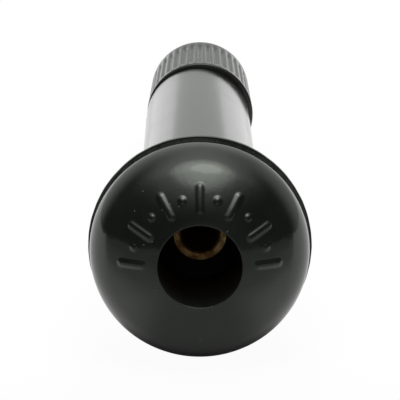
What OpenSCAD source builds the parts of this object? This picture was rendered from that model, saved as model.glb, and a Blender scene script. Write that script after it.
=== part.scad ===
// Snap-in tyre valve: a rubber body moulded on a brass stem, with a screwed-in valve core and a sealing cap.
// Sizes are in millimetres. The stem runs along +Y. The origin is on its axis, in the plane of the rim seat.

/* [Main lengths] */
// Length of the valve from the rim seat to the mouth of the stem
effective_length = 50.8; // [45:0.1:65]
// Height of the head, from the rim of the air inlet to the rim seat
head_height = 10.7; // [10.3:0.1:12]

/* [Rubber head] */
// Largest diameter of the head, at the thin lip behind its dome
head_d = 19.4; // [18:0.1:20.5]
// Radius of the dome's crown
crown_radius = 13; // [11.6:0.1:16]
// Radius of the dome's shoulder, between the crown and the lip
shoulder_radius = 4.2; // [3.6:0.1:5.2]
// How far the lip stands out past the widest part of the dome
lip_step = 0.25; // [0.1:0.01:0.35]
// How far past its widest part the dome curves in before it meets the lip, in degrees
tuck_angle = 22; // [18:1:28]
// Thickness of the lip at its edge
lip_width = 0.4; // [0.3:0.05:0.6]
// Diameter of the flat seat that lies on the rim
seat_d = 15.6; // [14.6:0.1:16.4]
// How far the seat's edge lies below the rim seat
seat_drop = 0.5; // [0.3:0.1:0.8]
// Rounding of the seat's edge
seat_round = 0.8; // [0.4:0.1:1]
// Diameter of the air inlet in the dome
inlet_d = 7.2; // [6.4:0.1:7.8]
// Rounding of the air inlet's rim
inlet_edge = 0.15; // [0.1:0.05:0.4]

/* [Rubber sleeve] */
// Diameter of the groove that the rim's hole closes on
groove_d = 11.9; // [11:0.1:12.4]
// Width of the groove
groove_width = 3.8; // [3:0.1:5]
// Diameter of the bead that snaps through the rim's hole
bead_d = 14.8; // [14:0.1:15.2]
// Height of the bead's plain land
bead_land = 1; // [0.8:0.1:1.4]
// Length of the bead's sloping lead to the sleeve
bead_lead = 5; // [4:0.1:7]
// Diameter of the sleeve just above the bead
sleeve_foot_d = 10.7; // [10.3:0.1:11.2]
// Diameter of the sleeve at its end below the cap
sleeve_end_d = 9.7; // [9.5:0.1:10]
// Gap between the sleeve's end and the cap
sleeve_gap = 0.5; // [0.2:0.1:0.8]
// Rounding in the corners of the groove
groove_fillet = 0.4; // [0.2:0.05:0.6]
// Rounding of the bead's edge at the groove
bead_edge = 0.5; // [0.3:0.05:0.6]
// Rounding between the bead's land and its lead
bead_round = 1.2; // [0.8:0.1:1.6]
// Rounding where the lead runs into the sleeve
lead_round = 6; // [3:0.5:8]
// Rounding of the sleeve's end, as a share of the wall there
sleeve_rounding = 0.6; // [0.2:0.05:0.8]

/* [Brass stem] */
// Diameter over the thread for the cap
thread_d = 7.7; // [7.5:0.1:7.9]
// Diameter of the shank that the sleeve is bonded to
shank_d = 6.6; // [6:0.1:7]
// Diameter of the stem's ringed foot
foot_d = 7.8; // [7.4:0.1:8.2]
// Number of holding grooves in the foot
foot_grooves = 3; // [2:1:4]
// Distance from one holding groove to the next
groove_pitch = 1.8; // [1.6:0.1:2.2]
// Depth of a holding groove
groove_depth = 0.5; // [0.3:0.05:0.5]
// Width of a holding groove's floor
groove_floor = 0.6; // [0.4:0.05:0.8]
// How far the foot reaches below the rim seat
foot_depth = 0.5; // [0.3:0.1:1]
// Length of the full-width end that the sleeve covers
flare_length = 4; // [3:0.5:8]
// Length of the slope between the shank and that end
flare_slope = 1; // [0.6:0.1:1.6]
// Diameter of the air bore
bore_d = 3.2; // [2.8:0.1:3.4]
// Rounding of the air bore's edge
bore_edge = 0.3; // [0.1:0.05:0.4]
// Diameter of the bare end that shows as a ring in the air inlet
ring_d = 4.6; // [4.2:0.1:5]
// Length of the chamfer that starts the cap's thread
thread_lead = 0.6; // [0.4:0.05:0.8]

/* [Valve core] */
// Depth of the pin's tip below the stem's mouth
pin_recess = 0.3; // [0.1:0.1:0.6]
// Diameter of the pin
pin_d = 1.1; // [0.9:0.05:1.2]
// How far the pin is pressed in to open the valve
pin_travel = 1.2; // [0.8:0.1:1.3]
// How far the pin still stands above the tongue when it is pressed
pin_rest = 0.2; // [0.1:0.05:0.4]
// Diameter over the plug's thread
plug_d = 5.2; // [5:0.1:5.4]
// Length of the plug's thread
plug_thread = 4; // [3.6:0.1:4.6]
// Height of the plug's tongue, which a core key turns
tongue_height = 2; // [1.6:0.1:2.4]
// Width of the tongue across its flats
tongue_width = 2.6; // [2.3:0.1:2.8]
// Diameter of the bore inside the plug
plug_bore_d = 3; // [2.9:0.05:3.1]
// Gap for the air between the pin and the barrel
air_gap = 0.3; // [0.25:0.05:0.35]
// Width of the shoulder that the barrel swivels on
swivel_step = 0.2; // [0.15:0.01:0.22]
// Height of the barrel's head
barrel_head_height = 0.7; // [0.5:0.05:0.9]
// Height of the plug's lip, which is rolled in under the barrel's head
rolled_height = 0.4; // [0.3:0.05:0.5]
// Wall of the plug's skirt round the barrel's head
skirt_wall = 0.32; // [0.28:0.02:0.34]
// Height of the barrel's collar above its gasket
collar_height = 0.4; // [0.3:0.05:0.6]
// Length of the barrel's gasket
gasket_height = 1.6; // [1.2:0.1:2]
// How much the gasket narrows to its lower end
gasket_taper = 0.35; // [0.3:0.01:0.4]
// Length of the barrel below its gasket
tube_length = 5.2; // [4:0.1:7]
// Length of the spring as it is fitted
spring_length = 3.6; // [3.2:0.1:3.8]
// Diameter of the spring's wire
wire_d = 0.28; // [0.2:0.02:0.3]
// Number of the spring's coils
coils = 6; // [5:1:7]
// Height of the cup's seal
cup_seal_height = 0.9; // [0.7:0.05:1.1]
// Depth of the cup round its seal
cup_depth = 0.6; // [0.4:0.05:0.65]
// Thickness of the cup's floor
cup_floor = 0.6; // [0.4:0.05:0.8]
// Height of the cup's hub
cup_hub = 0.8; // [0.6:0.05:1]

/* [Cap] */
// Length of the cap
cap_length = 11.1; // [10:0.1:11.6]
// Diameter of the cap at its open end
cap_d = 10.3; // [9.9:0.1:10.8]
// Diameter of the cap at its closed end
cap_end_d = 9.6; // [9.3:0.1:9.9]
// Thickness of the cap's end wall
cap_wall = 1.6; // [1.2:0.1:2]
// Thickness of the cap's seal
seal_height = 0.9; // [0.7:0.1:1.2]
// Number of grip grooves round the cap
grip_count = 40; // [28:1:44]
// Width of a grip groove
grip_width = 0.4; // [0.2:0.05:0.5]
// Plain length of the cap below the grip grooves
grip_start = 0.7; // [0.5:0.1:1.5]
// Plain length of the cap above the grip grooves
grip_end = 1.3; // [1:0.1:2]
// Rounding of the cap's closed end
cap_round = 0.6; // [0.3:0.05:0.8]

/* [Fits] */
// Radial clearance between pieces that turn or slide on each other
running_fit = 0.08; // [0.04:0.01:0.1]
// Gap left between faces that rest on each other
face_gap = 0.02; // [0.01:0.005:0.03]
// Chamfer on the edges of the larger turned pieces
edge = 0.3; // [0.2:0.05:0.35]
// Chamfer on the edges of the pin, the cup and the tongue
fine_edge = 0.2; // [0.1:0.05:0.22]

/* [Hidden] */
$fn = 96;

// Radii
head_r = head_d / 2;
dome_r = head_r - lip_step;
inlet_r = inlet_d / 2;
groove_r = groove_d / 2;
bead_r = bead_d / 2;
thread_r = thread_d / 2;
shank_r = shank_d / 2;
foot_r = foot_d / 2;
bore_r = bore_d / 2;
ring_r = ring_d / 2;
pin_r = pin_d / 2;
plug_r = plug_d / 2;
plug_bore_r = plug_bore_d / 2;
cap_r = cap_d / 2;
cap_end_r = cap_end_d / 2;

// Heights along the stem, from the mouth down
mouth_z = effective_length;
pin_tip_z = mouth_z - pin_recess;
tongue_z = pin_tip_z - pin_travel - pin_rest;
plug_top_z = tongue_z - tongue_height;
plug_foot_z = plug_top_z - plug_thread;

// Barrel: its head swivels in a pocket of the plug, above a lip that is rolled in
barrel_head_r = plug_bore_r + swivel_step;
barrel_neck_r = plug_bore_r - swivel_step;
barrel_bore_r = pin_r + air_gap;
pocket_r = barrel_head_r + running_fit;
rolled_z = plug_foot_z - barrel_head_height - 0.1;
plug_end_z = rolled_z - rolled_height;
skirt_r = pocket_r + skirt_wall;
collar_z = plug_end_z - 0.3;
gasket_z = collar_z - collar_height;
tube_z = gasket_z - gasket_height;
seat_z = tube_z - tube_length;
gasket_r = skirt_r + 0.1;
gasket_end_r = gasket_r - gasket_taper;
tube_r = gasket_end_r - 0.3;
gasket_bore_r = tube_r - 0.2;

// Pin: its collar takes the spring and its foot holds the sealing cup
spring_z = plug_foot_z + spring_length;
spring_collar_r = plug_bore_r - 0.45;
cup_z = seat_z - face_gap - cup_seal_height;
hub_z = cup_z - cup_floor;
peen_z = hub_z - cup_hub;
pin_foot_z = peen_z - 0.5;
peen_r = pin_r + 0.3;
cup_r = tube_r - 0.05;
cup_seal_r = cup_r - 0.17;

// Stem: thread bore, gasket seat, lower chamber and air bore
core_thread_r = plug_r + running_fit / 2;
core_thread_z = plug_foot_z - 0.3;
chamber_r = gasket_end_r - 0.05;
chamber_z = pin_foot_z - pin_travel - 0.6;
foot_z = -foot_depth;
groove_z = 0.9;
foot_top_z = groove_z + edge * 2 + foot_grooves * groove_pitch;

// Cap: its roof bears on the seal, which bears on the stem's mouth
roof_z = mouth_z + seal_height + 2 * face_gap;
cap_end_z = roof_z + cap_wall;
cap_open_z = cap_end_z - cap_length;
cap_bore_r = thread_r + running_fit;
cap_draft = atan((cap_r - cap_end_r) / cap_length);
grip_z = cap_open_z + grip_start;
grip_length = cap_length - grip_start - grip_end;
sleeve_end_z = cap_open_z - sleeve_gap;
flare_z = sleeve_end_z - flare_length;

// Dome: a crown arc between the inlet's rounded rim and the shoulder arc, each tangent to the next
rim_arc = [inlet_r + inlet_edge, inlet_edge - head_height];
crown_z = rim_arc[1] + sqrt(pow(crown_radius - inlet_edge, 2) - pow(rim_arc[0], 2));
shoulder_x = dome_r - shoulder_radius;
shoulder_z = crown_z - sqrt(pow(crown_radius - shoulder_radius, 2) - pow(shoulder_x, 2));
crown_from = atan2(rim_arc[1] - crown_z, rim_arc[0]);
crown_to = atan2(shoulder_z - crown_z, shoulder_x);
tuck_z = shoulder_z + shoulder_radius * sin(tuck_angle);
roof_slope = 0.8;

// Points of an arc, five degrees or less apart
function arc(centre, radius, from, to) =
    let (steps = ceil(abs(to - from) / 5))
    [for (i = [0 : steps])
        let (a = from + (to - from) * i / steps)
        centre + radius * [cos(a), sin(a)]];

function unit(v) = v / norm(v);

function xy(p) = [p[0], p[1]];

// The arc that rounds the corner b between a and c to the radius r
function rounded_corner(a, b, c, r) =
    let (
        u = unit(a - b),
        v = unit(c - b),
        half = acos(u * v) / 2,
        centre = b + unit(u + v) * r / sin(half),
        start = b + u * r / tan(half) - centre,
        end = b + v * r / tan(half) - centre,
        from = atan2(start[1], start[0]),
        sweep = (atan2(end[1], end[0]) - from + 540) % 360 - 180
    )
    arc(centre, r, from, from + sweep);

// An outline of [x, y] or [x, y, rounding] corners as plain points
function rounded(outline) =
    let (n = len(outline))
    [for (i = [0 : n - 1])
        each len(outline[i]) == 2
            ? [outline[i]]
            : rounded_corner(
                xy(outline[(i + n - 1) % n]), xy(outline[i]), xy(outline[(i + 1) % n]), outline[i][2])];

function reversed(list) = [for (i = [len(list) - 1 : -1 : 0]) list[i]];

// Outside of the brass stem where the rubber is bonded to it
bonded = concat(
    [[foot_r - edge, foot_z], [foot_r, foot_z + edge]],
    [for (i = [0 : foot_grooves - 1])
        let (z = groove_z + i * groove_pitch, root_r = foot_r - groove_depth)
        each [
            [foot_r, z],
            [root_r, z + edge],
            [root_r, z + edge + groove_floor],
            [foot_r, z + 2 * edge + groove_floor]
        ]],
    [
        [foot_r, foot_top_z],
        [shank_r, foot_top_z + foot_r - shank_r],
        [shank_r, flare_z],
        [thread_r, flare_z + flare_slope]
    ]
);

dome = concat(
    arc(rim_arc, inlet_edge, 180, 360 + crown_from),
    arc([0, crown_z], crown_radius, crown_from, crown_to),
    arc([shoulder_x, shoulder_z], shoulder_radius, crown_to, tuck_angle)
);

sleeve = rounded([
    [head_r, tuck_z],
    [head_r, tuck_z + lip_width],
    [seat_d / 2, -seat_drop, seat_round],
    [groove_r, 0, groove_fillet],
    [groove_r, groove_width, groove_fillet],
    [bead_r, groove_width, bead_edge],
    [bead_r, groove_width + bead_land, bead_round],
    [sleeve_foot_d / 2, groove_width + bead_land + bead_lead, lead_round],
    [sleeve_end_d / 2, sleeve_end_z, sleeve_rounding * (sleeve_end_d - thread_d) / 2],
    [thread_r, sleeve_end_z]
]);

// Turns an outline of [radius, height] points round the stem's axis and lays it along +Y
module turned(outline) {
    lay() rotate_extrude() polygon(outline);
}

module lay() {
    rotate([-90, 0, 0]) children();
}

// Rubber body: the head, the groove for the rim, the snap-in bead and the sleeve in one moulding
module rubber_body() {
    color("#24272a")
    turned(concat(
        dome,
        sleeve,
        reversed(bonded),
        [[ring_r, foot_z], [inlet_r, foot_z - (inlet_r - ring_r) * roof_slope]]
    ));
}

// Brass stem: ringed foot, shank and threaded end, bored for the air and for the valve core
module brass_stem() {
    color("#b98f45")
    turned(concat(
        [[ring_r, foot_z]],
        bonded,
        [
            [thread_r, mouth_z - thread_lead],
            [thread_r - 0.8 * thread_lead, mouth_z],
            [core_thread_r + edge, mouth_z],
            [core_thread_r, mouth_z - edge],
            [core_thread_r, core_thread_z],
            [gasket_r + face_gap, core_thread_z - edge],
            [gasket_r + face_gap, gasket_z],
            [gasket_end_r + face_gap, tube_z],
            [chamber_r, tube_z - 0.1],
            [chamber_r, chamber_z],
            [bore_r, chamber_z - edge]
        ],
        arc([bore_r + bore_edge, foot_z + bore_edge], bore_edge, 180, 270)
    ));
}

// Core plug: the screwed part, with a tongue whose flats open windows into its bore
module core_plug() {
    bridge_z = tongue_z - 0.4 * tongue_height;
    tongue_r = skirt_r;
    color("#c9a24f")
    difference() {
        turned([
            [pin_r + running_fit, tongue_z],
            [pin_r + running_fit, bridge_z],
            [plug_bore_r, bridge_z],
            [plug_bore_r, plug_foot_z],
            [pocket_r, plug_foot_z],
            [pocket_r, rolled_z],
            [barrel_neck_r + running_fit, rolled_z],
            [barrel_neck_r + running_fit, plug_end_z],
            [skirt_r - fine_edge, plug_end_z],
            [skirt_r, plug_end_z + edge],
            [skirt_r, plug_foot_z],
            [plug_r - edge, plug_foot_z],
            [plug_r, plug_foot_z + edge],
            [plug_r, plug_top_z - edge],
            [plug_r - edge, plug_top_z],
            [tongue_r, plug_top_z],
            [tongue_r, tongue_z - fine_edge],
            [tongue_r - fine_edge, tongue_z]
        ]);
        for (side = [-1, 1])
            lay()
            translate([side * (tongue_width + plug_d) / 2, 0, plug_top_z + tongue_height])
            cube([plug_d, 2 * plug_d, 2 * tongue_height], center = true);
    }
}

// Core barrel: swivels on the plug, carries the gasket and ends in the seat for the cup's seal
module core_barrel() {
    color("#c4994a")
    turned([
        [barrel_bore_r, plug_foot_z - face_gap],
        [barrel_head_r, plug_foot_z - face_gap],
        [barrel_head_r, plug_foot_z - barrel_head_height],
        [barrel_neck_r, plug_foot_z - barrel_head_height],
        [barrel_neck_r, collar_z],
        [gasket_r - 0.2, collar_z],
        [gasket_r - 0.2, gasket_z],
        [gasket_bore_r, gasket_z],
        [gasket_bore_r, tube_z],
        [tube_r, tube_z],
        [tube_r, seat_z + 0.4],
        [barrel_bore_r + 0.3, seat_z],
        [barrel_bore_r, seat_z]
    ]);
}

// Barrel gasket: a tapered ring that seals the barrel in the stem
module barrel_gasket() {
    color("#d8d4c8")
    turned([
        [gasket_bore_r + face_gap, gasket_z - face_gap],
        [gasket_r, gasket_z - face_gap],
        [gasket_end_r, tube_z + face_gap],
        [gasket_bore_r + face_gap, tube_z + face_gap]
    ]);
}

// Core pin: pressed in at its tip to open the valve
module core_pin() {
    color("#bfa15e")
    turned([
        [0, pin_foot_z],
        [peen_r - 0.1, pin_foot_z],
        [peen_r, peen_z - 0.3],
        [peen_r, peen_z - face_gap],
        [pin_r, peen_z - face_gap],
        [pin_r, spring_z],
        [spring_collar_r, spring_z],
        [spring_collar_r, spring_z + 0.4],
        [pin_r, spring_z + 0.6],
        [pin_r, pin_tip_z - fine_edge],
        [pin_r - fine_edge, pin_tip_z],
        [0, pin_tip_z]
    ]);
}

// Pin cup: holds the seal that shuts against the barrel
module pin_cup() {
    pin_hole_r = pin_r + face_gap;
    color("#c4994a")
    turned([
        [pin_hole_r, peen_z],
        [peen_r + 0.1, peen_z],
        [peen_r + 0.1, hub_z],
        [cup_r - fine_edge, hub_z],
        [cup_r, hub_z + fine_edge],
        [cup_r, cup_z + cup_depth],
        [cup_seal_r + face_gap, cup_z + cup_depth],
        [cup_seal_r + face_gap, cup_z],
        [pin_hole_r, cup_z]
    ]);
}

// Cup seal: the soft washer in the cup
module cup_seal() {
    pin_hole_r = pin_r + face_gap;
    color("#2b2b2b")
    turned([
        [pin_hole_r, cup_z + face_gap],
        [cup_seal_r, cup_z + face_gap],
        [cup_seal_r, seat_z - face_gap],
        [pin_hole_r, seat_z - face_gap]
    ]);
}

// Core spring: a coil of round wire between the barrel's head and the pin's collar, with closed end coils
module core_spring() {
    sides = 8;
    steps = 20;
    closed = 0.75;
    coil_r = spring_collar_r - wire_d / 2;
    lead = 1.06 * wire_d;
    from_z = plug_foot_z + wire_d / 2 + face_gap;
    to_z = spring_z - wire_d / 2 - face_gap;
    last = coils * steps;
    pitch = (to_z - from_z - 2 * closed * lead) / (coils - 2 * closed);
    function height(t) = from_z
        + lead * (min(t, closed) + max(t - coils + closed, 0))
        + pitch * max(min(t, coils - closed) - closed, 0);
    points = [for (i = [0 : last], k = [0 : sides - 1])
        let (
            a = 360 * i / steps,
            b = 360 * k / sides,
            r = coil_r + wire_d / 2 * cos(b)
        )
        [r * cos(a), r * sin(a), height(i / steps) + wire_d / 2 * sin(b)]];
    walls = [for (i = [0 : last - 1], k = [0 : sides - 1])
        let (j = (k + 1) % sides)
        each [
            [i * sides + k, (i + 1) * sides + k, (i + 1) * sides + j],
            [i * sides + k, (i + 1) * sides + j, i * sides + j]
        ]];
    ends = [
        [for (k = [0 : sides - 1]) k],
        [for (k = [sides - 1 : -1 : 0]) last * sides + k]
    ];
    color("#aeb2b6")
    lay()
    polyhedron(points = points, faces = concat(walls, ends));
}

// Cap seal: the soft disc between the cap's roof and the stem's mouth
module cap_seal() {
    color("#3a3a38")
    turned([
        [0, mouth_z + face_gap],
        [cap_bore_r - running_fit, mouth_z + face_gap],
        [cap_bore_r - running_fit, mouth_z + face_gap + seal_height],
        [0, mouth_z + face_gap + seal_height]
    ]);
}

// Cap: grooved for grip and screwed down on the stem's thread
module cap() {
    color("#2b2d2f")
    difference() {
        turned(rounded([
            [cap_bore_r + edge, cap_open_z],
            [cap_r, cap_open_z, fine_edge],
            [cap_end_r, cap_end_z, cap_round],
            [0, cap_end_z],
            [0, roof_z],
            [cap_bore_r, roof_z],
            [cap_bore_r, cap_open_z + 0.4]
        ]));
        for (i = [0 : grip_count - 1])
            lay()
            rotate([0, 0, i * 360 / grip_count])
            translate([cap_r - (grip_z - cap_open_z) * tan(cap_draft), 0, grip_z])
            rotate([0, -cap_draft, 0])
            cylinder(d = grip_width, h = grip_length, $fn = 24);
    }
}

rubber_body();
brass_stem();
core_plug();
core_barrel();
barrel_gasket();
core_spring();
core_pin();
pin_cup();
cup_seal();
cap_seal();
cap();
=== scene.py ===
# %% [markdown]
# # A snap-in tyre valve
# The solids of this valve come from CAD and are already packed, so this script never moves them. It
# loads them as a fixed frame, builds finer skins where light shows a surface closely, paints every
# piece, and sets up the light and the camera. The stem lies along +Y, the head faces -Y, and the
# origin is in the plane of the rim seat.

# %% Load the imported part
import math

import bmesh
import bpy
import numpy as np
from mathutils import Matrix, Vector


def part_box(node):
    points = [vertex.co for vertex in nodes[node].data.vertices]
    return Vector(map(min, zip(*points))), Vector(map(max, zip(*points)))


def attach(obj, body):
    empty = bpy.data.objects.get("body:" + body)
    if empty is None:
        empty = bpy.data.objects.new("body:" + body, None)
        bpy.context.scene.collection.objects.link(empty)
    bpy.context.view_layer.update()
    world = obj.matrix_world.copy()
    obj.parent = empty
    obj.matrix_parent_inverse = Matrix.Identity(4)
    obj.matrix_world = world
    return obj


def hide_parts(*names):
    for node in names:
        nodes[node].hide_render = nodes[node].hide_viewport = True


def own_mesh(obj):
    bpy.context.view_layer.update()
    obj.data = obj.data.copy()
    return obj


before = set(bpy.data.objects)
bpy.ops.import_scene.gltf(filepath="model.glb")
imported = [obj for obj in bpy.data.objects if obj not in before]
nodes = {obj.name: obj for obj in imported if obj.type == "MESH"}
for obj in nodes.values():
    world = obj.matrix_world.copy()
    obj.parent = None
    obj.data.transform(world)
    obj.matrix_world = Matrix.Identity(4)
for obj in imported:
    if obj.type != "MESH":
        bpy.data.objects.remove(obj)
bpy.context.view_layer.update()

print("nodes:", ", ".join(sorted(nodes)))

# %% [markdown]
# ## Outlines
# Nearly every piece of a valve is turned or moulded round one axis. A designer draws half of its
# section, rounds the corners, and spins it. These helpers do the same. An outline is a list of
# corners in millimetres, each a radius, a height along the stem and, if the corner is round, its
# rounding.

# %% Arcs and rounded corners
MM = 0.001
ROUNDING_STEP = 10.0  # degrees between the points of a rounded corner


def arc(centre, radius, start, stop, step):
    """Points on an arc, its angles in degrees."""
    count = max(1, math.ceil(abs(stop - start) / step))
    angles = np.radians(np.linspace(start, stop, count + 1))
    return [(centre[0] + radius * math.cos(a), centre[1] + radius * math.sin(a)) for a in angles]


def rounded(corners):
    """The points of an outline whose corners may carry a rounding."""
    points = []
    for i, corner in enumerate(corners):
        b = np.array(corner[:2], float)
        if len(corner) == 2:
            points.append(tuple(b))
            continue
        u = np.array(corners[i - 1][:2], float) - b
        v = np.array(corners[(i + 1) % len(corners)][:2], float) - b
        u /= np.linalg.norm(u)
        v /= np.linalg.norm(v)
        half = math.acos(max(-1.0, min(1.0, float(u @ v)))) / 2
        middle = (u + v) / np.linalg.norm(u + v)
        centre = b + middle * corner[2] / math.sin(half)
        first, last = (b + w * corner[2] / math.tan(half) - centre for w in (u, v))
        start = math.degrees(math.atan2(first[1], first[0]))
        sweep = (math.degrees(math.atan2(last[1], last[0])) - start + 540) % 360 - 180
        points += arc(centre, corner[2], start, start + sweep, ROUNDING_STEP)
    return points


def closer(points, gap):
    """The same outline with points added, so that none are further apart than gap."""
    out = []
    for a, b in zip(points, points[1:]):
        count = max(1, math.ceil(math.dist(a, b) / gap))
        out += [tuple(np.array(a) + (np.array(b) - np.array(a)) * k / count) for k in range(count)]
    return out + [points[-1]]


print("a square corner rounded to 1 mm has", len(rounded([(0, 0), (5, 0, 1), (5, 5)])), "points")

# %% [markdown]
# ## Spinning an outline
# Blender has a Spin tool and a Screw modifier, but here the mesh is made row by row, because a
# thread, a row of grip grooves or a moulded mark is then just a small change of each point's place,
# worked out from its height and its angle. The angle is zero at the top and grows the way a
# right-hand thread climbs along +Y.

# %% A lathe that can carry relief
MERGE = 1e-7  # points this close, in metres, become one
ON_AXIS = 1e-6  # a radius this small, in millimetres, is on the axis


def smooth_step(x, low, high):
    t = np.clip((x - low) / (high - low), 0, 1)
    return t * t * (3 - 2 * t)


def add_piece(name, verts, faces):
    """A smoothly shaded object whose faces all look outwards."""
    mesh = bpy.data.meshes.new(name)
    mesh.from_pydata(verts.tolist(), [], faces)
    work = bmesh.new()
    work.from_mesh(mesh)
    bmesh.ops.remove_doubles(work, verts=work.verts, dist=MERGE)
    bmesh.ops.recalc_face_normals(work, faces=work.faces)
    work.to_mesh(mesh)
    work.free()
    mesh.shade_smooth()
    piece = bpy.data.objects.new(name, mesh)
    bpy.context.scene.collection.objects.link(piece)
    return piece


def lathe(name, outline, sides, relief, sharp):
    """Spins a closed outline round the stem's axis. relief(radius, height, angle) is how far a
    point stands proud, and edges sharper than so many degrees stay crisp."""
    points = np.array(outline, float)
    ahead, behind = np.roll(points, -1, 0), np.roll(points, 1, 0)
    along = ahead - behind
    along /= np.linalg.norm(along, axis=1)[:, None] + 1e-12
    signed = np.sum(points[:, 0] * ahead[:, 1] - ahead[:, 0] * points[:, 1])
    proud = np.stack([along[:, 1], -along[:, 0]], 1) * (1 if signed > 0 else -1)
    angle = np.arange(sides) * 2 * math.pi / sides
    r = np.repeat(points[:, :1], sides, 1)
    y = np.repeat(points[:, 1:], sides, 1)
    lift = relief(r, y, angle[None, :])
    r, y = r + lift * proud[:, :1], y + lift * proud[:, 1:]
    verts = np.stack([r * np.sin(angle), y, r * np.cos(angle)], -1).reshape(-1, 3) * MM
    ring = [(k, (k + 1) % sides) for k in range(sides)]
    faces = []
    for i in range(len(points)):
        j = (i + 1) % len(points)
        if points[i, 0] < ON_AXIS and points[j, 0] < ON_AXIS:
            continue
        a, b = i * sides, j * sides
        faces += [(a + k, b + k, b + after, a + after) for k, after in ring]
    piece = add_piece(name, verts, faces)
    piece.data.set_sharp_from_angle(angle=math.radians(sharp))
    print(f"{name}: {len(piece.data.polygons)} faces")
    return piece


print("a quarter of the way, a smooth step has risen by", smooth_step(0.25, 0.0, 1.0))

# %% [markdown]
# ## Writing shader maths in Python
# A material is a net of nodes. Wiring it by hand hides what it computes, so a small class stands
# for one socket and turns Python's own signs into Math nodes. Everything else, such as a noise or a
# bump, comes from one method that takes the node's type, what goes into its sockets and its
# settings.

# %% Sockets that add up
class Wire:
    """One output socket. Arithmetic on it adds Math nodes."""

    def __init__(self, paint, socket):
        self.paint, self.socket = paint, socket

    def math(self, operation, left, right=0.0):
        return self.paint.node("ShaderNodeMath", {0: left, 1: right}, operation=operation)

    def __add__(self, other):
        return self.math("ADD", self, other)

    def __radd__(self, other):
        return self.math("ADD", other, self)

    def __rsub__(self, other):
        return self.math("SUBTRACT", other, self)

    def __mul__(self, other):
        return self.math("MULTIPLY", self, other)

    def __rmul__(self, other):
        return self.math("MULTIPLY", other, self)

    def __pow__(self, other):
        return self.math("POWER", self, other)

    def __lt__(self, other):
        return self.math("LESS_THAN", self, other)

    def __abs__(self):
        return self.math("ABSOLUTE", self)

    def between(self, low, high):
        """0 below low, 1 above high, and a smooth rise between them."""
        sockets = {"Value": self, "From Min": low, "From Max": high}
        return self.paint.node("ShaderNodeMapRange", sockets, interpolation_type="SMOOTHSTEP")


class Paint:
    """The node tree of a material or of the world, and the place that is being painted."""

    def __init__(self, owner, coordinates):
        owner.use_nodes = True
        self.owner, self.tree = owner, owner.node_tree
        self.tree.nodes.clear()
        self.place = self.node("ShaderNodeTexCoord", out=coordinates)

    def node(self, kind, sockets=None, out=0, **settings):
        """Adds a node and gives back one of its outputs."""
        made = self.tree.nodes.new(kind)
        for key, value in settings.items():
            setattr(made, key, value)
        for key, value in (sockets or {}).items():
            if isinstance(value, Wire):
                self.tree.links.new(value.socket, made.inputs[key])
            else:
                made.inputs[key].default_value = value
        return Wire(self, made.outputs[out]) if made.outputs else None

    def parts(self):
        """The place's x, y and z."""
        split = self.node("ShaderNodeSeparateXYZ", {"Vector": self.place}).socket.node
        return [Wire(self, socket) for socket in split.outputs]

    def distance(self, scale):
        """How far the place is from the origin, once each axis is scaled. A 0 leaves one out."""
        scaled = self.node("ShaderNodeVectorMath", {0: self.place, 1: scale}, operation="MULTIPLY")
        return self.node("ShaderNodeVectorMath", {0: scaled}, out="Value", operation="LENGTH")

    def noise(self, scale, detail, roughness=0.5, where=None):
        where = self.place if where is None else where
        sockets = {"Vector": where, "Scale": scale, "Detail": detail, "Roughness": roughness}
        return self.node("ShaderNodeTexNoise", sockets)

    def blend(self, share, first, second):
        """One colour going over to another. A Mix node's colour sockets are 6, 7 and 2."""
        return self.node("ShaderNodeMix", {0: share, 6: first, 7: second}, out=2, data_type="RGBA")

    def bump(self, height, depth):
        return self.node("ShaderNodeBump", {"Height": height, "Distance": depth, "Strength": 1.0})


print("helpers for shaders:", Wire.__name__, "and", Paint.__name__)

# %% [markdown]
# ## Finishing a piece
# Nearly every finish here ends in one Principled shader, which covers rubber, plastic and metal. A
# finish is painted in the object's own coordinates, so it stays on the piece when the piece moves.

# %% From nodes to a finish
def new_paint(name):
    return Paint(bpy.data.materials.new(name), "Object")


def surface(paint, **sockets):
    """Ends a material in a Principled shader. Underscores in the names stand for spaces."""
    named = {key.replace("_", " "): value for key, value in sockets.items()}
    shader = paint.node("ShaderNodeBsdfPrincipled", named)
    paint.node("ShaderNodeOutputMaterial", {"Surface": shader})
    print("finish:", paint.owner.name, "with", len(paint.tree.nodes), "nodes")
    return paint.owner


def dress(piece, finish):
    piece.data.materials.clear()
    piece.data.materials.append(finish)


ROUND_STEM = (1.0, 0.0, 1.0)  # leaves out the height, so a distance is a radius
GREENISH = (0.96, 1.0, 0.94, 1)  # the photograph's black leans a little to green
print("reflections on black are tinted", GREENISH[:3])
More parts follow.
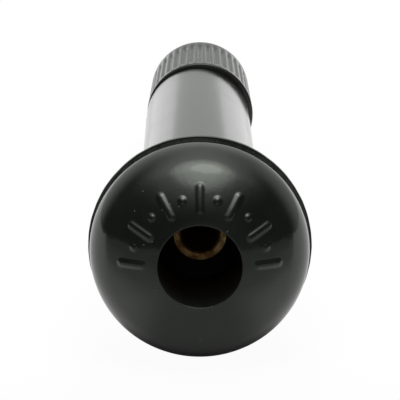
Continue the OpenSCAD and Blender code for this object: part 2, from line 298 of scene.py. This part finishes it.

# %% [markdown]
# ## Moulded black rubber
# The body is black rubber straight from a polished mould. It is never one flat black: wax that
# works its way out leaves a faint grey bloom in soft clouds, the gloss changes from patch to patch,
# specks of dust cling to it, and a very fine grain breaks up the reflections. Each comes from noise
# of its own size, in metres, because the object's own coordinates are in metres too. The clouds and
# patches also bend the head by about a hundredth of a millimetre, as rubber's shrinkage does, and
# the sleeve by a tenth of that. The inlet is duller, since the mould's core pin was never polished,
# and so is the front of the lip. That front is also painted a lighter grey. This is painted light,
# standing in for light that its flat face does not catch. A thin coat stands for the wax on the
# sleeve.

# %% The rubber's finish
def moulded_rubber():
    fresh, bloomed = (0.0040, 0.0046, 0.0043, 1), (0.0080, 0.0090, 0.0083, 1)
    dust_grey, lip_painted_light_grey = (0.16, 0.16, 0.15, 1), (0.038, 0.041, 0.038, 1)
    paint = new_paint("moulded_rubber")
    clouds = paint.noise(260.0, 4.0, 0.55)
    patches = paint.noise(900.0, 3.0)
    grain = paint.noise(9000.0, 2.0)
    bloom = clouds.between(0.4, 0.75)
    dots = paint.node("ShaderNodeTexVoronoi", {"Vector": paint.place, "Scale": 1500.0})
    dust = (dots < 0.10) * paint.noise(700.0, 1.0).between(0.54, 0.64)

    radius, along = paint.distance(ROUND_STEM), paint.parts()[1]
    inlet = 1.0 - radius.between(0.00366, 0.00374)
    # the lip's front: duller, and painted a lighter grey as painted light
    lip_front_painted_light = along.between(-0.00385, -0.00375) * radius.between(0.0091, 0.0092)
    lip_front_painted_light = lip_front_painted_light * (1.0 - radius.between(0.00940, 0.00955))
    lip_front_painted_light = lip_front_painted_light * (0.4 + 0.6 * patches.between(0.4, 0.6))
    waves = 1.0 - 0.9 * along.between(-0.004, 0.0)
    sleeve = along.between(0.006, 0.010)

    colour = paint.blend(dust * 0.5, paint.blend(bloom, fresh, bloomed), dust_grey)
    return surface(
        paint,
        # the lighter grey on the lip's front is painted light
        Base_Color=paint.blend(lip_front_painted_light, colour, lip_painted_light_grey),
        IOR=1.56,
        Specular_Tint=GREENISH,
        Roughness=0.09 + 0.04 * bloom + 0.04 * patches + 0.25 * (inlet + lip_front_painted_light),
        Coat_Weight=0.28 * sleeve,
        Coat_Roughness=0.12,
        Coat_IOR=1.5,
        Normal=paint.bump(grain + waves * (30.0 * clouds + 8.0 * patches), 1.2e-6),
    )


rubber = moulded_rubber()

# %% [markdown]
# ## The rubber body
# The head is a dome with the air inlet in its middle. The dome curves in again before a thin lip,
# which is left where the two halves of the mould meet, and a sloping back seals on the rim. Then
# come the groove for the rim's hole, the bead that snaps through it and the long sleeve. These
# could be separate shapes joined together, but one outline gives all of it with no joints. Its
# inner side is where the rubber is bonded to the brass, so the stem uses the same corners.

# %% The body's outline
HEAD_TOP, INLET_R, INLET_FLOOR, INLET_EDGE = -10.7, 3.6, -1.54, 0.06
DOME_R, CROWN_R, SHOULDER_R = 9.45, 13.0, 4.2
TUCK = 22.0  # degrees by which the shoulder goes on round behind the dome's widest place
LIP_R, LIP_THICK = 9.7, 0.4
OFF_TRUE = 0.035  # how far each half of the mould is off true
HOLE_R, BEAD_R, BEAD_FROM, BEAD_TO = 5.95, 7.4, 3.8, 4.8
SLEEVE_R, SLEEVE_END, THREAD_R = 4.97, 41.74, 3.85
BOND = [
    (2.3, -0.5), (3.6, -0.5), (3.9, -0.2), (3.9, 6.9), (3.3, 7.5),
    (3.3, SLEEVE_END - 4), (THREAD_R, SLEEVE_END - 3),
]

edge_at = (INLET_R + INLET_EDGE, HEAD_TOP + INLET_EDGE)
crown_y = edge_at[1] + math.sqrt((CROWN_R - INLET_EDGE) ** 2 - edge_at[0] ** 2)
shoulder_x = DOME_R - SHOULDER_R
shoulder_y = crown_y - math.sqrt((CROWN_R - SHOULDER_R) ** 2 - shoulder_x**2)
crown_from = math.degrees(math.atan2(edge_at[1] - crown_y, edge_at[0]))
crown_to = math.degrees(math.atan2(shoulder_y - crown_y, shoulder_x))
tuck_y = shoulder_y + SHOULDER_R * math.sin(math.radians(TUCK))

dome = (
    arc(edge_at, INLET_EDGE, 180, 360 + crown_from, 12)
    + closer(arc((0, crown_y), CROWN_R, crown_from, crown_to, 0.6), 0.12)
    + arc((shoulder_x, shoulder_y), SHOULDER_R, crown_to, TUCK, 2.0)
)
back = rounded([
    dome[-1],
    (LIP_R - OFF_TRUE, tuck_y, 0.05),
    (LIP_R - OFF_TRUE, tuck_y + LIP_THICK, 0.12),
    (7.8, -0.5, 0.8),
    (HOLE_R, 0.0, 0.4),
    (HOLE_R, BEAD_FROM, 0.4),
    (BEAD_R, BEAD_FROM, 0.5),
    (BEAD_R, BEAD_TO, 1.2),
    (5.35, 9.8, 6.0),
    (SLEEVE_R, SLEEVE_END, 0.55),
    (THREAD_R, SLEEVE_END),
    *reversed(BOND),
    (INLET_R, INLET_FLOOR),
])[1:]
print("the dome is widest", round(shoulder_y - HEAD_TOP, 2), "mm behind the inlet's edge")

# %% [markdown]
# The head carries raised mould marks in an arc above the inlet: plain radial bars with a pip
# between each two. A separate mesh for each would need joining to the dome, so they are part of its
# height instead. Each is a soft step round a capsule shape, which comes out with edges as rounded
# as rubber's are. The mould also leaves a fine seam along both sides of the sleeve, and a ragged
# edge on the lip, which sines of different lengths give.

# %% The marks of the mould
MARK_ANGLES = np.radians(np.arange(-90, 91, 15))
MARK_HALF_LENGTHS = [0.85, 0.0] * 6 + [0.85]
MARK_R, MARK_HALF_WIDTH, MARK_HEIGHT, MARK_SOFT = 5.8, 0.26, 0.11, 0.18
SEAM_WIDTH, SEAM_HEIGHT, RAGGED = 0.09, 0.05, 0.006


def body_relief(r, y, angle):
    lift = np.zeros(np.broadcast(r, angle).shape)
    on_dome = y < shoulder_y - 0.1
    turn = (angle + math.pi) % (2 * math.pi) - math.pi
    for at, half in zip(MARK_ANGLES, MARK_HALF_LENGTHS):
        side = r * np.sin(turn - at)
        out = np.maximum(np.abs(r * np.cos(turn - at) - MARK_R) - half, 0)
        away = np.hypot(side, out) - MARK_HALF_WIDTH
        lift = np.maximum(lift, MARK_HEIGHT * (1 - smooth_step(away, -MARK_SOFT, MARK_SOFT)))
    seam = np.exp(-((r * np.cos(angle) / SEAM_WIDTH) ** 2)) * SEAM_HEIGHT
    behind = (y > tuck_y + 0.3) & (y < SLEEVE_END - 0.3) & (r > 4.4) & (r < 9.0)
    sines = 2 * np.sin(3 * angle + 1) + np.sin(17 * angle) + 0.7 * np.sin(43 * angle + 2)
    on_lip = (r > 9.3) & (y > tuck_y - 0.1)
    return lift * on_dome + seam * behind + RAGGED * (sines - 3.7) * on_lip


print(len(MARK_ANGLES), "marks on the dome, each", MARK_HEIGHT, "mm high")

# %% [markdown]
# Mould halves never meet quite true, so the dome is moved a few hundredths of a millimetre to one
# side and the lip behind it as far down. The sleeve's soft end is a little full, leans to one side
# and sags. A modifier could bend the sleeve, but moving each point by a smooth share is plainer and
# leaves the bore where it is.

# %% Spin the body and let it sag
BODY_SIDES, BODY_SHARP = 400, 40
LEAN, SAG = 0.2, 0.13

body = lathe("valve_rubber", dome + back, BODY_SIDES, body_relief, BODY_SHARP)
for vert in body.data.vertices:
    radius, height = vert.co.xz.length / MM, vert.co.y / MM
    head = MM * OFF_TRUE * smooth_step(radius, 5.0, 9.0)
    if height > tuck_y - 0.05:
        vert.co.z -= head
    else:
        vert.co.x -= head
    soft = MM * smooth_step(radius, 4.2, 4.7) * smooth_step(height, 6.0, 36.0)
    vert.co.x -= LEAN * soft
    vert.co.z -= SAG * soft
dress(body, rubber)
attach(body, "valve_body")
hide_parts("rubber_body")

# %% [markdown]
# ## Turned brass
# Brass tarnishes brown where damp air reaches it, most at the end inside the tyre, and a lathe tool
# leaves fine rings. A noise that only reads the height along the stem gives the rings. A coarse
# noise gives the brown film, and a slow fade along the stem thins it towards the cap. At the tyre's
# end the lower side is also painted a darker brown, which is painted shade.

# %% The brass finishes
def turned_brass(name, clean, film, share):
    paint = new_paint(name)
    across, along, up = paint.parts()
    height = paint.node("ShaderNodeCombineXYZ", {"Y": along})
    rings = paint.noise(14000.0, 2.0, where=height)
    streak = paint.noise(2600.0, 1.0, where=height)
    tyre_end = 1.0 - along.between(0.0, 0.035)
    tarnish = paint.noise(1300.0, 4.0, 0.6).between(0.68 - share, 0.86 - share)
    # painted shade: darker on the lower side at the tyre's end
    painted_shade_low = tyre_end * (1.0 - (up + 0.5 * across).between(-0.0022, 0.0012))
    # the brown film, with the painted shade added
    film_and_painted_shade = (0.15 + 0.15 * streak + 0.3 * tyre_end) * tarnish + 0.75 * painted_shade_low
    return surface(
        paint,
        Base_Color=paint.blend(film_and_painted_shade, clean, film),
        Metallic=1.0,
        Roughness=0.27 + 0.15 * tyre_end + 0.16 * tarnish + 0.10 * rings,
        Normal=paint.bump(rings, 4e-6),
    )


stem_brass = turned_brass(
    "turned_stem_brass", clean=(0.80, 0.57, 0.26, 1), film=(0.36, 0.18, 0.07, 1), share=0.26
)
core_brass = turned_brass(
    "turned_core_brass", clean=(0.82, 0.59, 0.26, 1), film=(0.50, 0.31, 0.12, 1), share=0.12
)
pin_brass = turned_brass(
    "drawn_pin_brass", clean=(0.84, 0.66, 0.36, 1), film=(0.55, 0.38, 0.18, 1), share=0.05
)

# %% [markdown]
# ## The brass stem
# Its foot shows as a flat ring in the air inlet, and its other end carries the cap's thread outside
# and the core's thread inside. The solids leave the threads plain, so this skin cuts them: a thread
# is a ridge whose height depends on how far a point is from the nearest turn. The crests keep to
# the solid's own diameter.

# %% Threads and the stem's skin
PITCH, THREAD_DEPTH, CREST_FLAT = 0.79375, 0.43, 0.14
CORE_R, CORE_PITCH, CORE_DEPTH, CORE_PLAIN, CORE_FROM = 2.64, 0.7056, 0.26, 47.2, 47.4
MOUTH, THREAD_GAP, STEM_SIDES, STEM_SHARP = 50.8, 0.085, 144, 50
ON_WALL = 0.02  # points this close to a wall's radius belong to it
CHAMFER_START = 0.06  # the thread runs this far onto the chamfer at the mouth


def ridge(y, angle, pitch, first, last, start=0.0):
    """A right-hand thread, 1 on its crest and 0 at its root, and its fade at both ends."""
    turn = ((y - start) / pitch - angle / (2 * math.pi)) % 1.0
    crest = np.clip((1 - np.abs(2 * turn - 1) - CREST_FLAT) / (1 - 2 * CREST_FLAT), 0, 1)
    fade = smooth_step(y, first, first + pitch) * (1 - smooth_step(y, last - 0.8 * pitch, last))
    return crest, fade


def stem_relief(r, y, angle):
    crest, fade = ridge(y, angle, PITCH, SLEEVE_END - 0.3, MOUTH - 0.2)
    outside = r > THREAD_R - CHAMFER_START
    inner, inner_fade = ridge(y, angle, CORE_PITCH, CORE_FROM, MOUTH - 0.3)
    inside = np.abs(r - CORE_R) < ON_WALL
    return inner * CORE_DEPTH * inner_fade * inside - (1 - crest) * THREAD_DEPTH * fade * outside


tip = [(THREAD_R, SLEEVE_END - 0.4), (THREAD_R, MOUTH - 0.6), (3.35, MOUTH)]
stem_outline = (
    BOND
    + closer(tip, THREAD_GAP)
    + [(2.94, MOUTH)]
    + closer([(CORE_R, MOUTH - 0.3), (CORE_R, CORE_PLAIN)], THREAD_GAP)
    + [(CORE_R, 42.8), (2.22, 42.5), (2.22, 41.2), (1.87, 39.6), (1.8, 39.5), (1.8, 29.7)]
    + [(1.6, 29.4)]
    + arc((1.9, -0.2), 0.3, 180, 270, 10)
)
stem = lathe("valve_stem", stem_outline, STEM_SIDES, stem_relief, STEM_SHARP)
dress(stem, stem_brass)
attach(stem, "valve_body")
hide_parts("brass_stem")

# %% [markdown]
# ## The valve core
# The core's turned pieces are small and plain enough to be shown as the solids they are. They only
# need their finishes: brass for the plug, barrel and cup, a paler drawn brass for the pin, waxy
# plastic for the gasket and soft rubber for the washers.

# %% Finishes for the core and the seals
def waxy_plastic():
    paint = new_paint("waxy_plastic")
    cloud = paint.noise(1800.0, 3.0)
    return surface(
        paint,
        Base_Color=paint.blend(cloud, (0.72, 0.69, 0.60, 1), (0.86, 0.84, 0.77, 1)),
        Roughness=0.32 + 0.15 * cloud,
        Subsurface_Weight=0.15,
        Subsurface_Radius=(0.001, 0.0008, 0.0006),
        Normal=paint.bump(cloud, 8e-6),
    )


def soft_rubber():
    paint = new_paint("soft_rubber")
    cloud = paint.noise(2400.0, 4.0, 0.6)
    return surface(
        paint,
        Base_Color=paint.blend(cloud, (0.016, 0.016, 0.016, 1), (0.045, 0.044, 0.042, 1)),
        Roughness=0.55 + 0.2 * cloud,
        Normal=paint.bump(cloud, 15e-6),
    )


washer_rubber = soft_rubber()
for name, finish in {
    "core_plug": core_brass,
    "core_barrel": core_brass,
    "pin_cup": core_brass,
    "core_pin": pin_brass,
    "barrel_gasket": waxy_plastic(),
    "cup_seal": washer_rubber,
    "cap_seal": washer_rubber,
}.items():
    dress(nodes[name], finish)
    print("painted", name)

# %% [markdown]
# ## The closing spring
# The spring is a coil of thin steel wire, closed at both ends.

# %% Spring wire along a helix
WIRE_SIDES, STEPS_A_TURN = 10, 36
CLOSED_TURNS, CLOSED_LEAD = 0.75, 1.06  # turns that lie close at each end, and their rise in wires


def spring_steel():
    paint = new_paint("drawn_spring_steel")
    drawn = paint.noise(5000.0, 3.0)
    return surface(
        paint,
        Base_Color=paint.blend(drawn, (0.48, 0.48, 0.48, 1), (0.68, 0.68, 0.67, 1)),
        Metallic=1.0,
        Roughness=0.24 + 0.16 * drawn,
        Normal=paint.bump(drawn, 3e-6),
    )


def coil(name, foot, top, radius, wire, turns):
    lead = CLOSED_LEAD * wire
    bottom = foot + wire / 2
    open_turns = turns - 2 * CLOSED_TURNS
    pitch = (top - foot - wire - 2 * CLOSED_TURNS * lead) / open_turns
    t = np.linspace(0, turns, turns * STEPS_A_TURN + 1)
    close = np.minimum(t, CLOSED_TURNS) + np.maximum(t - turns + CLOSED_TURNS, 0)
    rise = bottom + lead * close + pitch * np.clip(t - CLOSED_TURNS, 0, open_turns)
    around = np.linspace(0, 2 * math.pi, WIRE_SIDES, endpoint=False)
    r = radius + wire / 2 * np.cos(around)[None, :]
    y = rise[:, None] + wire / 2 * np.sin(around)[None, :]
    turn = (2 * math.pi * t)[:, None]
    verts = np.stack([r * np.cos(turn), y, -r * np.sin(turn)], -1).reshape(-1, 3) * MM
    starts = [i * WIRE_SIDES for i in range(len(t))]
    ring = [(k, (k + 1) % WIRE_SIDES) for k in range(WIRE_SIDES)]
    faces = [
        (a + k, a + after, b + after, b + k)
        for a, b in zip(starts, starts[1:])
        for k, after in ring
    ]
    faces += [tuple(range(WIRE_SIDES)), tuple(starts[-1] + k for k in reversed(range(WIRE_SIDES)))]
    print(f"{name}: {turns} turns of {wire} mm wire")
    return add_piece(name, verts, faces)


low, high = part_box("core_spring")
spring = coil("closing_spring", low.y / MM, high.y / MM, radius=0.91, wire=0.28, turns=6)
dress(spring, spring_steel())
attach(spring, "valve_body")
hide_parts("core_spring")
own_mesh(spring)

# %% [markdown]
# ## The cap
# The cap is a black plastic moulding, less glossy than the rubber. Fingers and weather turn the
# outermost parts of its grip grey first. A mask on the radius could show that alone, but would
# leave an even band, so a noise breaks it up.

# %% The cap's finish
def cap_plastic():
    paint = new_paint("moulded_cap_plastic")
    patches = paint.noise(1100.0, 4.0, 0.65).between(0.5, 0.75)
    worn = paint.distance(ROUND_STEM).between(0.00480, 0.00510) * patches
    cloud = paint.noise(500.0, 3.0)
    grain = paint.noise(7000.0, 3.0)
    grey_share = worn * 0.6 + 0.2 * cloud
    return surface(
        paint,
        Base_Color=paint.blend(grey_share, (0.010, 0.0104, 0.0102, 1), (0.040, 0.041, 0.040, 1)),
        Specular_Tint=GREENISH,
        Roughness=0.16 + 0.08 * cloud + 0.10 * worn,
        Normal=paint.bump(grain + 1.5 * cloud, 5e-6),
    )


plastic = cap_plastic()

# %% [markdown]
# The cap has grip grooves round its side, a shallow mark on its closed end and a thread inside. The
# grooves could be cut out one by one, but a dip that repeats round the angle and runs out before
# both ends does it at once. The thread's ridges sit half a turn's height away from the stem's, so
# the two stay in mesh while the cap unscrews.

# %% The cap's skin
CAP_OPEN, CAP_END, CAP_ROOF, CAP_BORE_R, CAP_THREAD_DEPTH = 42.24, 53.34, 51.74, 3.93, 0.34
GROOVES, GROOVE_HALF_WIDTH, GROOVE_DEPTH = 40, 0.21, 0.19
CAP_SIDES, CAP_SHARP = 8 * GROOVES, 50


def cap_relief(r, y, angle):
    across = (angle * GROOVES / (2 * math.pi) + 0.5) % 1.0 - 0.5
    aside = across * 2 * math.pi * r / GROOVES / GROOVE_HALF_WIDTH
    dip = np.sqrt(np.clip(1 - aside**2, 0, 1))
    run_in = smooth_step(y, CAP_OPEN + 0.65, CAP_OPEN + 0.85)
    run_out = 1 - smooth_step(y, CAP_END - 3.0, CAP_END - 1.15)
    outside = r > 4.6
    crest, fade = ridge(y, angle, PITCH, CAP_OPEN + 0.6, CAP_ROOF - 0.5, start=PITCH / 2)
    inside = np.abs(r - CAP_BORE_R) < ON_WALL
    thread = crest * CAP_THREAD_DEPTH * fade * inside
    return thread - GROOVE_DEPTH * dip * run_in * run_out * outside


side = rounded([(4.23, CAP_OPEN), (5.15, CAP_OPEN, 0.2), (4.8, CAP_END, 0.6), (0, CAP_END)])[:-1]
cap_outline = (
    closer(side, 0.45)
    + [(2.6, CAP_END), (2.5, CAP_END - 0.03), (0, CAP_END - 0.05)]
    + [(0, CAP_ROOF), (CAP_BORE_R, CAP_ROOF)]
    + closer([(CAP_BORE_R, CAP_ROOF - 0.3), (CAP_BORE_R, CAP_OPEN + 0.4)], 0.1)
)
cap = lathe("valve_cap", cap_outline, CAP_SIDES, cap_relief, CAP_SHARP)
dress(cap, plastic)
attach(cap, "cap")
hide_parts("cap")

# %% [markdown]
# ## A white studio
# Black rubber is seen by what it reflects, so the surroundings matter more than the lamp's power.
# The dome is nearly a mirror ball, and reading its highlights in the photograph gives the room: a
# pale backdrop that sweeps up behind the object, a bright ceiling with a softbox towards the
# camera, a dim screen behind the camera, and dark walls. An image of a room could light it too, but
# these few need only nodes. Each is a soft step on how far a direction leans one way, which is what
# a dot product says. Rays that come straight from the camera always see white.

# %% The world
def studio_world():
    room_tint, white = (0.965, 1.0, 0.96, 1), (1, 1, 1, 1)
    scene = bpy.context.scene
    scene.world = bpy.data.worlds.new("studio")
    paint = Paint(scene.world, "Generated")

    def leans(x, y, z):
        sockets = {0: paint.place, 1: (x, y, z)}
        return paint.node("ShaderNodeVectorMath", sockets, out="Value", operation="DOT_PRODUCT")

    walls = 0.09
    backdrop = 0.52 * leans(0.12, 0.99, 0).between(0.0, 0.6)
    sweep = 0.22 * leans(0, 0.72, 0.69).between(0.88, 1.0)
    ceiling = 2.0 * leans(0, -0.2, 0.98).between(0.3, 1.1) ** 3.0
    softbox = 2.5 * leans(0.05, -0.37, 0.928).between(0.88, 0.985)
    screen = 0.26 * leans(0, -1, 0).between(0.92, 0.985)
    room = walls + backdrop + sweep + ceiling + softbox + screen
    seen = paint.node("ShaderNodeLightPath", out="Is Camera Ray")
    tint = paint.blend(seen, room_tint, white)
    strength = room + (1.0 - room) * seen
    back = paint.node("ShaderNodeBackground", {"Color": tint, "Strength": strength})
    paint.node("ShaderNodeOutputWorld", {"Surface": back})
    print("world ready with", len(paint.tree.nodes), "nodes")


studio_world()
bpy.context.scene.view_settings.view_transform = "Standard"

# %% [markdown]
# The valve lies on its head and its cap, so the table is tilted to meet them, and not the valve.
# Most of its white comes from a glow that only the camera sees in full, which leaves a faint shadow
# and no extra light on the valve. The dome mirrors the table too, so shade is painted into the
# table's colour: a painted shadow dims it ahead of the valve, a darker painted contact shadow lies
# where the head touches it, and beside and behind the valve it stays pale. Mirrored rays see a
# share of the glow shaped by the same masks, which is a painted reflection.

# %% The table
TILT = math.radians(3.95)
TOUCH = Vector((0, -0.0034, -0.00971))
HALF_TABLE = 4  # metres, so that its edge is out of sight
GLOW = 0.96


def grey(value):
    return (value, value, value, 1)


def table_top():
    paint = new_paint("white_table_painted_shade")
    across, along = paint.parts()[:2]
    aside = abs(across).between(0.004, 0.014)
    behind = along.between(0.0, 0.02)
    # painted light: pale beside and behind the valve, fading out ahead of it
    painted_light = along.between(-0.020, -0.002) * (1.0 - (1.0 - aside) * (1.0 - behind))
    # painted contact shadow: 0 where the head touches the table, 1 a few millimetres away
    clear = paint.distance((0.5, 1.0, 0.0)).between(0.0030, 0.0056)
    # painted shadow ahead of the valve, darker further ahead
    painted_dim_ahead = paint.blend(along.between(-0.06, -0.01), grey(0.25), grey(0.45))
    painted_shade = paint.blend(clear, grey(0.25), paint.blend(painted_light, painted_dim_ahead, grey(0.86)))
    matt = paint.node("ShaderNodeBsdfDiffuse", {"Color": painted_shade})
    glow = paint.node("ShaderNodeEmission", {"Color": grey(1), "Strength": 1.0})
    camera, glossy, through = (
        paint.node("ShaderNodeLightPath", out=f"Is {ray} Ray")
        for ray in ("Camera", "Glossy", "Transmission")
    )
    # the glow that reflections see follows the painted masks, a painted reflection
    mirrored_painted_glow = glossy * (0.3 + 0.7 * clear) * (0.08 + 0.75 * painted_light)
    share = GLOW * camera + mirrored_painted_glow + GLOW * through
    mixed = paint.node("ShaderNodeMixShader", {0: share, 1: matt, 2: glow})
    paint.node("ShaderNodeOutputMaterial", {"Surface": mixed})
    return paint.owner


mesh = bpy.data.meshes.new("table")
corners = [(x * HALF_TABLE, y * HALF_TABLE, 0) for x, y in ((-1, -1), (1, -1), (1, 1), (-1, 1))]
mesh.from_pydata(corners, [], [(0, 1, 2, 3)])
table = bpy.data.objects.new("table", mesh)
bpy.context.scene.collection.objects.link(table)
table.location, table.rotation_euler = TOUCH, (TILT, 0, 0)
dress(table, table_top())
print("table tilted by", round(math.degrees(TILT), 2), "degrees")

# %% [markdown]
# One round lamp hangs above the camera's side of the table, a little to the right. It lights the
# brass ring and gives the valve its faint shadow. A sun would make a hard shadow, and a wide disc
# makes a soft one. Its power is set by how bright its face should look: an evenly shining disc
# gives off its radiance times pi times its area.

# %% The lamp
LAMP_AT, LAMP_SIZE, LAMP_RADIANCE = Vector((0.05, -0.215, 0.56)), 0.24, 1.6

lamp = bpy.data.lights.new("lamp", "AREA")
lamp.shape, lamp.size = "DISK", LAMP_SIZE
lamp.energy = LAMP_RADIANCE * math.pi * math.pi * LAMP_SIZE * LAMP_SIZE / 4
lamp.color = (0.97, 1.0, 0.955)
holder = bpy.data.objects.new("lamp", lamp)
holder.location = LAMP_AT
holder.rotation_euler = (-LAMP_AT).to_track_quat("-Z", "Y").to_euler()
bpy.context.scene.collection.objects.link(holder)
print("lamp", round(lamp.energy, 3), "W")

# %% [markdown]
# ## The camera
# The outline of the head, the inlet, the brass ring and the cap in the photograph fix where the
# camera stood: about a third of a metre from the head, some sixteen degrees above the stem's axis,
# with a long lens. Turning a camera by hand until it looks right would leave the sizes in doubt, so
# these values come from a fit to those outlines.

# %% The camera's place
SENSOR, FOCAL_PIXELS, PICTURE_PIXELS = 36.0, 3935, 400
DIP = 0.2675  # radians by which the camera looks down

camera = bpy.data.cameras.new("camera")
camera.sensor_width, camera.lens = SENSOR, FOCAL_PIXELS / PICTURE_PIXELS * SENSOR
eye = bpy.data.objects.new("camera", camera)
eye.location = (0, -0.330, 0.0934)
eye.rotation_euler = (math.pi / 2 - DIP, 0, 0)
bpy.context.scene.collection.objects.link(eye)
bpy.context.scene.camera = eye
print("lens", round(camera.lens), "mm")

# %% [markdown]
# ## The end

# %% The end
print("the scene is set up")
